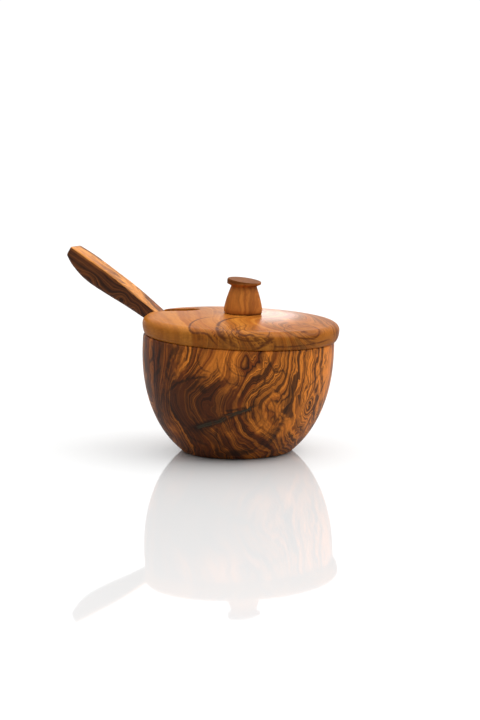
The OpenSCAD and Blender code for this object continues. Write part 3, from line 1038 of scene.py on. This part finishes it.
def figure_group():
    """Turns the grain's flow into bands, dark lines and pores: a colour and a height."""
    tree, given = new_group(
        "olive_figure",
        "ShaderNodeTree",
        [
            ("Flow", "Float", 0.0),
            ("Position", "Vector", None),
            ("Light", "Color", (0.6, 0.27, 0.07, 1)),
            ("Middle", "Color", (0.33, 0.12, 0.03, 1)),
            ("Dark", "Color", (0.05, 0.018, 0.008, 1)),
            ("Band Width", "Float", 4.0),
            ("Band Balance", "Float", 0.5),
            ("Line Gap", "Float", 2.4),
            ("Line Strength", "Float", 0.8),
            ("Pores", "Float", 0.4),
        ],
        [("Colour", "Color"), ("Height", "Float")],
    )

    def rings(gap, detail, offset):
        w = plus(tree, maths(tree, "DIVIDE", given["Flow"], gap), offset)
        values = {"W": w, "Scale": 1.0, "Detail": detail, "Roughness": 0.6}
        return put(tree, "ShaderNodeTexNoise", values, noise_dimensions="1D").outputs[0]

    bands = fade(tree, rings(given["Band Width"], 2.0, 3.7), 0.3, 0.7)
    bands = plus(tree, bands, minus(tree, given["Band Balance"], 0.5), clamp=True)
    fine = rings(times(tree, given["Line Gap"], 0.45), 2.0, 40.0)
    bands = plus(tree, bands, swing(tree, fine, 0.55), clamp=True)
    colour = mix_colour(tree, bands, given["Light"], given["Middle"])
    thin_lines = []
    for gap, offset, thin, share in ((1.0, 11.3, 0.045, 1.0), (0.42, 71.9, 0.07, 0.55)):
        ring = rings(times(tree, given["Line Gap"], gap), 1.0, offset)
        near = maths(tree, "ABSOLUTE", minus(tree, ring, 0.5))
        line = minus(tree, 1, fade(tree, near, thin * 0.25, thin * 1.6))
        thin_lines.append(times(tree, line, share))
    long_grain = vector_maths(tree, "MULTIPLY", given["Position"], (1.0, 1.0, 0.35))
    presence = fade(tree, noise(tree, long_grain, 0.11, 2.0), 0.32, 0.52)
    strength = times(tree, presence, given["Line Strength"])
    lines = times(tree, highest(tree, *thin_lines), strength, clamp=True)
    colour = mix_colour(tree, lines, colour, given["Dark"])
    fibres = vector_maths(tree, "MULTIPLY", given["Position"], (1.0, 1.0, 0.09))
    pores = times(tree, fade(tree, noise(tree, fibres, 2.6, 2.0), 0.60, 0.72), given["Pores"])
    colour = mix_colour(tree, times(tree, pores, 0.6), colour, given["Dark"])
    silk = noise(tree, fibres, 1.2, 3.0)
    shade = plus(tree, times(tree, silk, 0.5), 0.75)
    tint = put(tree, "ShaderNodeCombineColor", {0: shade, 1: shade, 2: shade}).outputs[0]
    colour = mix_colour(tree, 1.0, colour, tint, "MULTIPLY")
    height = minus(tree, times(tree, silk, 0.25), times(tree, pores, 0.9))
    height = minus(tree, height, times(tree, lines, 0.3))
    close_group(tree, Colour=colour, Height=height)
    return tree


def drawn_group():
    """The mask of the separately drawn dark lines, softened and frayed along the grain."""
    tree, given = new_group(
        "drawn_grain_line",
        "ShaderNodeTree",
        [("Position", "Vector", None), ("Fray", "Float", 0.5), ("Softness", "Float", 1.8)],
        [("Mask", "Float")],
    )
    shift = swing(tree, noise(tree, given["Position"], 0.45, 3.0), given["Fray"])
    away = maths(tree, "ABSOLUTE", plus(tree, mark(tree, "line_side"), shift))
    width = maths(tree, "MAXIMUM", mark(tree, "line_width"), 0.01)
    share = maths(tree, "DIVIDE", away, width)
    core = minus(tree, 1, fade(tree, share, 0.35, given["Softness"]))
    unbroken = fade(tree, noise(tree, given["Position"], 0.3, 3.0), 0.25, 0.5)
    dark = times(tree, mark(tree, "line_dark"), unbroken)
    close_group(tree, Mask=times(tree, core, dark, clamp=True))
    return tree


def polish_group():
    """Roughness of an oiled, hand-rubbed surface: uneven oil, and drier dark grain."""
    tree, given = new_group(
        "hand_rubbed_oil",
        "ShaderNodeTree",
        [
            ("Position", "Vector", None),
            ("Height", "Float", 0.0),
            ("Gloss", "Float", 0.34),
            ("Patchiness", "Float", 0.1),
        ],
        [("Roughness", "Float")],
    )
    uneven = swing(tree, noise(tree, given["Position"], 0.06, 3.0), given["Patchiness"])
    dry = times(tree, given["Height"], -0.12)
    close_group(tree, Roughness=plus(tree, plus(tree, given["Gloss"], uneven), dry, clamp=True))
    return tree


class Wood:
    """One olive-wood material being built: its tree, places in mm, and the grain so far."""

    def __init__(self, name, turn_to, centre=(0, 0, 0)):
        self.material = bpy.data.materials.new(name)
        self.material.use_nodes = True
        self.tree = self.material.node_tree
        self.shader = self.tree.nodes["Principled BSDF"]
        coordinates = put(self.tree, "ShaderNodeTexCoord").outputs["Object"]
        self.place = vector_maths(self.tree, "MULTIPLY", coordinates, (1000, 1000, 1000))
        values = {"Vector": self.place, "Location": centre, "Rotation": turn_to}
        self.grain = put(self.tree, "ShaderNodeMapping", values, vector_type="TEXTURE").outputs[0]
        self.flow = None

    def use(self, shared, **values):
        """Adds a shared effect's node and sets its inputs, named with _ for a space."""
        node = put(self.tree, "ShaderNodeGroup", node_tree=shared)
        for key, value in values.items():
            socket = node.inputs[key.replace("_", " ")]
            if isinstance(value, bpy.types.NodeSocket):
                self.tree.links.new(value, socket)
            else:
                socket.default_value = value
        return node

    def grow(self, swirl, ripple, figure, length=1.0):
        """Starts the grain. Swirl and ripple are an amount and a size, in mm."""
        place = vector_maths(self.tree, "MULTIPLY", self.grain, (1.0, 1.0, length))
        sizes = {"Swirl": swirl[0], "Swirl_Size": swirl[1], "Ripple": ripple[0], "Ripple_Size": ripple[1]}
        self.flow = self.use(FLOW, Position=place, Figure=figure, **sizes).outputs["Flow"]

    def knot(self, centre, reach, pull):
        """Bends the grain round a knot."""
        values = {"Centre": centre, "Reach": reach, "Pull": pull}
        self.flow = self.use(KNOT, Position=self.place, Flow=self.flow, **values).outputs["Flow"]

    def patch(self, centre, reach, soft=(0.1, 0.9), ragged=0.5, size=8.0):
        """A ragged patch round a place: 1 in the middle, 0 outside."""
        away = vector_maths(self.tree, "SUBTRACT", self.place, centre)
        length = vector_maths(self.tree, "LENGTH", vector_maths(self.tree, "DIVIDE", away, reach))
        rag = swing(self.tree, noise(self.tree, self.place, 1 / size, 4.0, Roughness=0.62), ragged * 4)
        return fade(self.tree, minus(self.tree, 1.5, plus(self.tree, length, rag)), *soft)

    def figure(self, **values):
        """Paints bands, lines and pores along the grain: the node with their colour and height."""
        return self.use(FIGURE, Flow=self.flow, Position=self.grain, **values)

    def stain(self, colour, mask, share, tint):
        """The colour with a share of a tint where the mask is."""
        return mix_colour(self.tree, times(self.tree, mask, share), colour, tint)

    def drawn(self, fray, softness):
        """The mask of the drawn grain lines."""
        return self.use(DRAWN, Position=self.place, Fray=fray, Softness=softness).outputs["Mask"]

    def close(self, colour, height, gloss, patchiness, bump, ior=1.28):
        """Joins the colour, the polish and the relief to the shader."""
        polish = self.use(POLISH, Position=self.place, Height=height, Gloss=gloss, Patchiness=patchiness)
        values = {"Height": height, "Distance": 0.0001, "Strength": bump}
        relief = put(self.tree, "ShaderNodeBump", values).outputs[0]
        roughness = polish.outputs["Roughness"]
        for name, socket in (("Base Color", colour), ("Roughness", roughness), ("Normal", relief)):
            self.tree.links.new(socket, self.shader.inputs[name])
        self.shader.inputs["IOR"].default_value = ior
        return self.material


def on_outside(angle, height):
    """A place on the bowl's outside, in mm, from an angle and height about the axis."""
    r, a = outside_r(height), math.radians(angle)
    return tuple(TURNED @ Vector((r * math.cos(a), r * math.sin(a), height)))


def on_lid(x, y, z=9):
    """A place on the lid, in mm, from its own plane."""
    return tuple(TURNED @ Vector((x + LID_SLID, y, z + BOWL_H)))


FRONT = math.radians(25)


def bowl_wood():
    """Dark streaky olive burr: upright grain swirled round a dark heart, with an open fissure, painted
    shade on its left, low and back sides and painted light on its right side.
    """
    wood = Wood("bowl_olive_wood", (0, 0, FRONT))
    tree = wood.tree
    wood.grow((13.0, 20.0), (5.0, 6.5), 0.6, 0.5)
    wood.knot(on_outside(-93, 31), (17, 17, 15), 15.0)
    wood.knot(on_outside(-60, 28), (25, 25, 22), 15.0)
    wood.knot(on_outside(-13, 30), (3.2, 3.2, 6), 8.0)
    wood.knot(on_outside(-64, 55), (6, 6, 7), 8.0)
    wood.knot(on_outside(60, 30), (16, 16, 22), 26.0)
    wood.knot(on_outside(150, 40), (14, 14, 16), 22.0)
    heart = wood.patch(on_outside(-92, 30), (23, 23, 17), (0.15, 0.85), 0.45)
    # The left, low and back patches are painted shade on the sides turned from the lights; the right patch
    # is painted light on the side facing the right softbox.
    left = wood.patch(on_outside(-122, 42), (20, 20, 26), size=6.0)
    low = wood.patch(on_outside(-86, 7), (28, 28, 10))
    back = wood.patch(on_outside(70, 26), (17, 17, 15))
    right = wood.patch(on_outside(-19, 40), (26, 26, 34), ragged=0.4, size=12.0)
    # dark joins the real dark heart with the painted shade; balance darkens the bands there and lightens
    # them under the painted light at the right.
    dark = highest(tree, heart, left, low, back)
    balance = minus(tree, plus(tree, 0.46, times(tree, dark, 0.36)), times(tree, right, 0.36))
    figure = wood.figure(
        Light=(0.74, 0.225, 0.027, 1),
        Middle=(0.185, 0.042, 0.007, 1),
        Dark=(0.020, 0.007, 0.004, 1),
        Band_Width=5.2,
        Band_Balance=balance,
        Line_Gap=2.7,
        Line_Strength=0.85,
        Pores=0.5,
    )
    colour = wood.stain(figure.outputs["Colour"], heart, 0.6, (0.045, 0.015, 0.007, 1))
    # Painted shade: a dark stain over the left, low and back sides.
    colour = wood.stain(colour, highest(tree, left, low, back), 0.3, (0.05, 0.016, 0.007, 1))
    colour = wood.stain(colour, wood.drawn(1.6, 2.0), 0.92, (0.02, 0.009, 0.005, 1))
    widest = fade(tree, mark(tree, "line_width"), 1.62, 1.76)
    filler = times(tree, wood.drawn(0.8, 0.6), widest)
    colour = wood.stain(colour, filler, 0.65, (0.060, 0.050, 0.031, 1))
    return wood.close(colour, figure.outputs["Height"], 0.42, 0.14, 0.5, 1.22)


def lid_wood():
    """Golden olive with ring knots near one edge and two strong drawn growth lines."""
    wood = Wood("lid_olive_wood", (math.pi / 2, 0, FRONT + 0.25))
    tree = wood.tree
    wood.grow((9.0, 34.0), (1.6, 8.0), 0.3)
    wood.knot(on_lid(22.5, -40.5), (9, 8, 8), 13.0)
    wood.knot(on_lid(42.5, -18), (13, 12, 8), 14.0)
    wood.knot(on_lid(20, -20), (26, 22, 30), 26.0)
    plain = wood.patch(on_lid(-24, -24), (34, 34, 30), ragged=0.25, size=12.0)
    busy = minus(tree, 1, plain)
    figure = wood.figure(
        Light=(0.42, 0.150, 0.021, 1),
        Middle=(0.30, 0.086, 0.010, 1),
        Dark=(0.075, 0.022, 0.006, 1),
        Band_Width=8.0,
        Band_Balance=plus(tree, 0.42, times(tree, busy, 0.16)),
        Line_Gap=5.0,
        Line_Strength=plus(tree, 0.1, times(tree, busy, 0.5)),
        Pores=0.3,
    )
    drawn = wood.drawn(0.5, 1.9)
    colour = wood.stain(figure.outputs["Colour"], drawn, 0.9, (0.085, 0.023, 0.006, 1))
    wood.shader.inputs["Coat Weight"].default_value = 0.14
    wood.shader.inputs["Coat Roughness"].default_value = 0.2
    return wood.close(colour, figure.outputs["Height"], 0.45, 0.12, 0.4, 1.06)


KNOB_FOOT = (5.2, 0, 71.8)
KNOB_TOP = (5.6, 0, 90.6)


def knob_wood():
    """Plain golden-brown olive with a faint upright grain, a darker end grain on top and painted shade
    round its foot.
    """
    wood = Wood("knob_olive_wood", (0, 0.06, FRONT))
    wood.grow((9.0, 14.0), (2.0, 4.0), 0.4)
    figure = wood.figure(
        Light=(0.50, 0.17, 0.029, 1),
        Middle=(0.33, 0.097, 0.017, 1),
        Dark=(0.12, 0.036, 0.011, 1),
        Band_Width=7.0,
        Band_Balance=0.4,
        Line_Gap=6.0,
        Line_Strength=0.35,
        Pores=0.4,
    )
    end_grain = wood.patch(KNOB_TOP, (16, 16, 3.2), (0.3, 0.7), 0.1, 5.0)
    colour = wood.stain(figure.outputs["Colour"], end_grain, 0.85, (0.115, 0.036, 0.008, 1))
    # Painted shade: a thin dark ring where the knob's foot meets the lid.
    foot_shade = wood.patch(KNOB_FOOT, (16, 16, 1.2), (0.3, 0.9), 0.1, 5.0)
    colour = wood.stain(colour, foot_shade, 0.7, (0.06, 0.02, 0.007, 1))
    return wood.close(colour, figure.outputs["Height"], 0.55, 0.12, 0.45, 1.14)


def spoon_wood():
    """Carved olive: golden streaks along the upper face, brown and swirled down the sides, whose darker
    colours are partly the wood's own and partly painted shade.
    """
    turn_to = (0, math.radians(90) + SPOON_TILT + LEAN, 0)
    wood = Wood("spoon_olive_wood", turn_to, (SPOON_EDGE_X, 0, SPOON_EDGE_Z))
    tree = wood.tree
    wood.grow((6.0, 12.0), (2.4, 4.0), 0.6, 0.35)
    wood.knot((-63, -8, 77.5), (4.5, 4, 4), 8.0)
    wood.knot((-56, -8, 72), (4, 4, 3.5), 7.0)
    wood.knot((-84, -8, 87), (7, 4, 4), 6.0)
    upper = mark(tree, "upper_face")
    # The colours for the sides and underside are darker than those of the upper face, partly the wood's
    # own tone and partly painted shade.
    figure = wood.figure(
        Light=mix_colour(tree, upper, (0.22, 0.068, 0.016, 1), (0.60, 0.235, 0.045, 1)),
        Middle=mix_colour(tree, upper, (0.085, 0.025, 0.008, 1), (0.27, 0.078, 0.015, 1)),
        Dark=mix_colour(tree, upper, (0.022, 0.008, 0.004, 1), (0.07, 0.021, 0.007, 1)),
        Band_Width=2.8,
        Band_Balance=0.5,
        Line_Gap=2.0,
        Line_Strength=0.9,
        Pores=0.45,
    )
    rubbed = mark(tree, "rubbed_edge")
    colour = wood.stain(figure.outputs["Colour"], rubbed, 0.3, (0.50, 0.19, 0.04, 1))
    return wood.close(colour, figure.outputs["Height"], 0.44, 0.12, 0.5, 1.25)


def dowel_wood():
    """Plain pale dowel stock with straight close grain along its length."""
    wood = Wood("dowel_wood", (0, 0, 0))
    wood.grow((0.8, 6.0), (0.2, 2.0), 0.0)
    figure = wood.figure(
        Light=(0.66, 0.44, 0.23, 1),
        Middle=(0.52, 0.32, 0.15, 1),
        Dark=(0.30, 0.17, 0.08, 1),
        Band_Width=1.6,
        Band_Balance=0.5,
        Line_Gap=0.9,
        Line_Strength=0.4,
        Pores=0.5,
    )
    return wood.close(figure.outputs["Colour"], figure.outputs["Height"], 0.6, 0.1, 0.5)


# ---------------------------------------------------------------- studio


def make_stage():
    """A glossy white table top that runs back out of sight."""
    shell = bmesh.new()
    bmesh.ops.create_grid(shell, x_segments=24, y_segments=24, size=6)
    mesh = bpy.data.meshes.new("table_top")
    shell.to_mesh(mesh)
    shell.free()
    for vertex in mesh.vertices:
        vertex.co.z = -0.0003
    white = bpy.data.materials.new("white_gloss_table")
    white.use_nodes = True
    shader = white.node_tree.nodes["Principled BSDF"]
    seen = put(white.node_tree, "ShaderNodeLightPath").outputs["Is Camera Ray"]
    tone = mix_colour(white.node_tree, seen, (0.4, 0.4, 0.4, 1), (0.6, 0.6, 0.6, 1))
    white.node_tree.links.new(tone, shader.inputs["Base Color"])
    shader.inputs["Roughness"].default_value = 0.035
    shader.inputs["IOR"].default_value = 1.5
    mesh.materials.append(white)
    top = bpy.data.objects.new("table_top", mesh)
    bpy.context.scene.collection.objects.link(top)


def make_world():
    """A white studio: plain white to the camera; as a light, a bright ceiling and a screen behind."""
    world = bpy.data.worlds.new("white_studio")
    world.use_nodes = True
    bpy.context.scene.world = world
    tree = world.node_tree
    direction = put(tree, "ShaderNodeTexCoord").outputs["Generated"]
    behind = tuple(around(math.degrees(FRONT) + 180, 8, 1))
    backward = vector_maths(tree, "DOT_PRODUCT", direction, behind)
    upward = put(tree, "ShaderNodeSeparateXYZ", {0: direction}).outputs[2]
    screen = times(tree, fade(tree, backward, 0.75, 0.975), 0.75)
    ceiling = times(tree, fade(tree, upward, 0.3, 0.9), 1.4)
    light = plus(tree, plus(tree, screen, ceiling), 0.38)
    seen = put(tree, "ShaderNodeLightPath").outputs["Is Camera Ray"]
    lift = times(tree, seen, minus(tree, 1.05, light))
    back = tree.nodes["Background"]
    back.inputs["Color"].default_value = (1, 1, 1, 1)
    tree.links.new(plus(tree, light, lift), back.inputs["Strength"])


def around(azimuth, elevation, distance):
    """A place round the object: azimuth 0 is in front along -Y, and 90 is at +X."""
    a, e = math.radians(azimuth), math.radians(elevation)
    return Vector((math.sin(a) * math.cos(e), -math.cos(a) * math.cos(e), math.sin(e))) * distance


def aim(name, light, place, target):
    """Puts a light at a place, pointing at a target."""
    lamp = bpy.data.objects.new(name, light)
    lamp.location = place
    lamp.rotation_mode = "QUATERNION"
    lamp.rotation_quaternion = (Vector(target) - Vector(place)).to_track_quat("-Z", "Y")
    bpy.context.scene.collection.objects.link(lamp)
    return lamp


STRIP_AZIMUTH = 201.9
CAMERA_ELEVATION = 7.8
CAMERA_DISTANCE = 0.942


def make_lights():
    """Two wide soft sources, high at the right and overhead, and a strip behind for the lid's sheen."""
    middle = (0, 0, 0.05)
    for name, azimuth, elevation, strength, spread_angle in (
        ("right_softbox", 110, 46, 1.5, 60),
        ("overhead_softbox", 165, 72, 0.9, 85),
    ):
        light = bpy.data.lights.new(name, "SUN")
        light.energy = strength
        light.angle = math.radians(spread_angle)
        aim(name, light, around(azimuth, elevation, 1.2), middle)
    strip = bpy.data.lights.new("back_strip", "AREA")
    strip.shape = "RECTANGLE"
    strip.size, strip.size_y = 0.075, 0.2
    strip.energy = 0.42
    lamp = aim("back_strip", strip, around(STRIP_AZIMUTH, 10, 1.0) + Vector((0, 0, 0.07)), middle)
    lamp.visible_camera = False
    return lamp


def light_only(lamp, name):
    """Lets a light fall on one piece only."""
    lit = bpy.data.collections.new("lit_by_" + lamp.name)
    lit.objects.link(bpy.data.objects[name])
    lamp.light_linking.receiver_collection = lit


def make_camera():
    """A long lens, a little above the table, turned round to the handle's side."""
    data = bpy.data.cameras.new("camera")
    data.lens = 90
    data.sensor_width = 36
    camera = bpy.data.objects.new("camera", data)
    target = Vector((math.cos(FRONT) * 3.1 * MM, math.sin(FRONT) * 3.1 * MM, 47.2 * MM))
    back = around(math.degrees(FRONT), CAMERA_ELEVATION, CAMERA_DISTANCE)
    camera.location = target + back
    camera.rotation_mode = "QUATERNION"
    camera.rotation_quaternion = (-back).to_track_quat("-Z", "Y")
    bpy.context.scene.collection.objects.link(camera)
    bpy.context.scene.camera = camera


bpy.context.scene.view_settings.view_transform = "Standard"
make_camera()
make_stage()
make_world()
lid_sheen = make_lights()

TURNING = turning_tree()
FLOW = grain_flow_group()
KNOT = knot_group()
FIGURE = figure_group()
DRAWN = drawn_group()
POLISH = polish_group()

BOWL_WOOD = bowl_wood()
LID_WOOD = lid_wood()
KNOB_WOOD = knob_wood()
SPOON_WOOD = spoon_wood()

make_bowl()
make_lid()
light_only(lid_sheen, "turned_lid")
make_knob()
make_spoon()

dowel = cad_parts["knob_dowel"]
for slot in dowel.material_slots:
    slot.material = dowel_wood()
